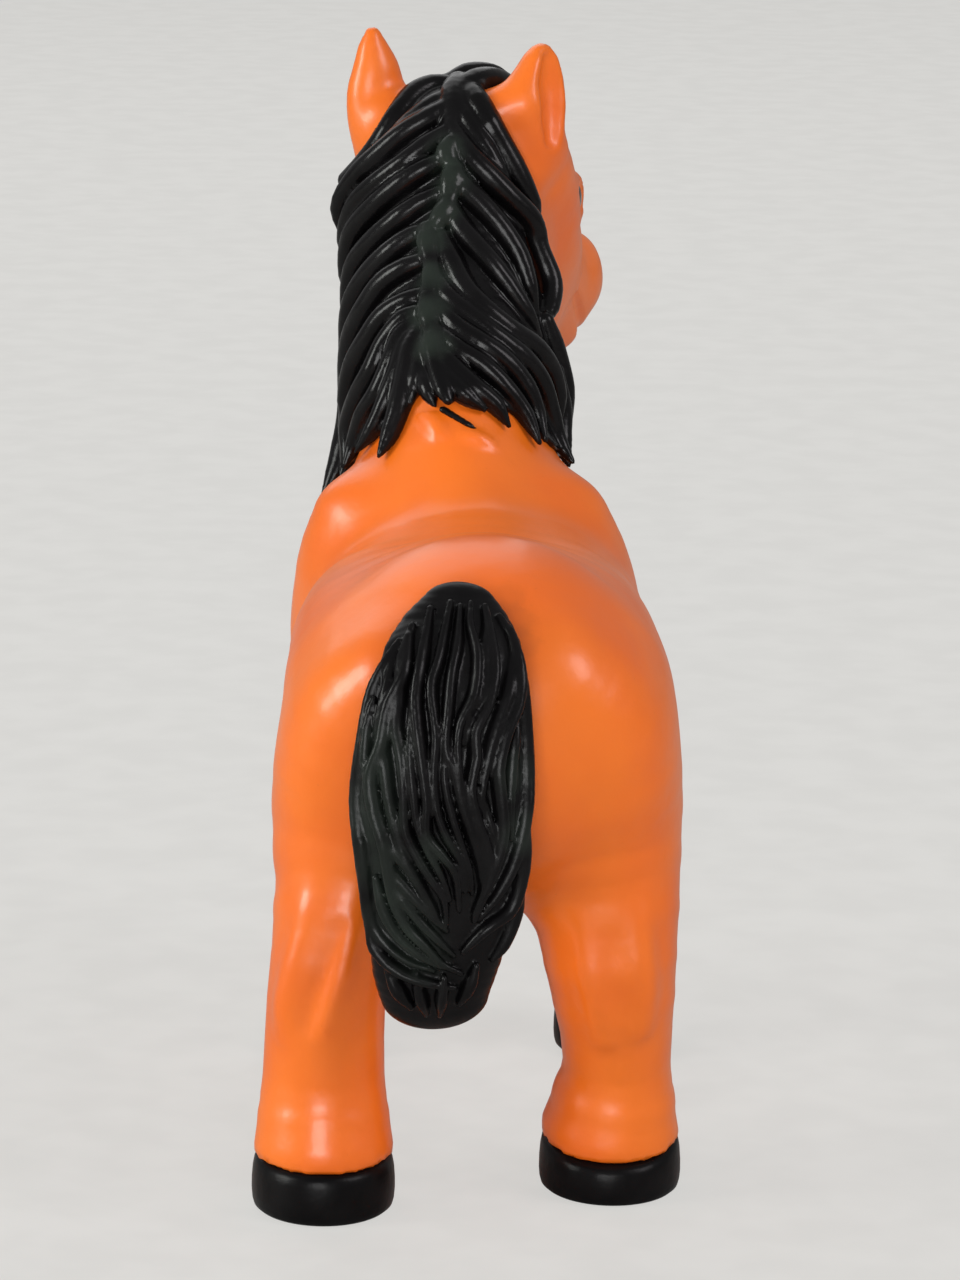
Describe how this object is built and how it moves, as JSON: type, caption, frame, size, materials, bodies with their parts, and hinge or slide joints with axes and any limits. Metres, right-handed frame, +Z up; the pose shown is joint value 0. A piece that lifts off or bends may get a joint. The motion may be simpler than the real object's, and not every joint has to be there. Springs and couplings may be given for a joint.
{
  "type": "toy farm animal figure",
  "caption": "Standing toy horse in bay vinyl with its head turned, hollow body and head plugged together, and black mane, forelock, tail and hooves.",
  "frame": {"origin": "on the ground under the middle of the figure's box", "axes": "+Z up, the head towards -Y and the tail towards +Y, the horse's left towards +X"},
  "size_m": [0.085, 0.2354, 0.2062],
  "materials": {
    "orange_vinyl": "satin",
    "black_paint": "gloss",
    "eye_black": "gloss"
  },
  "bodies": {
    "root": {"body_shell": "orange_vinyl", "head_neck_shell": "orange_vinyl", "mane": "black_paint", "forelock": "black_paint", "tail": "black_paint", "hoof_left_hind": "black_paint", "hoof_right_hind": "black_paint", "hoof_left_front": "black_paint", "hoof_right_front": "black_paint", "eye_left": "eye_black", "eye_right": "eye_black"}
  },
  "joints": []
}
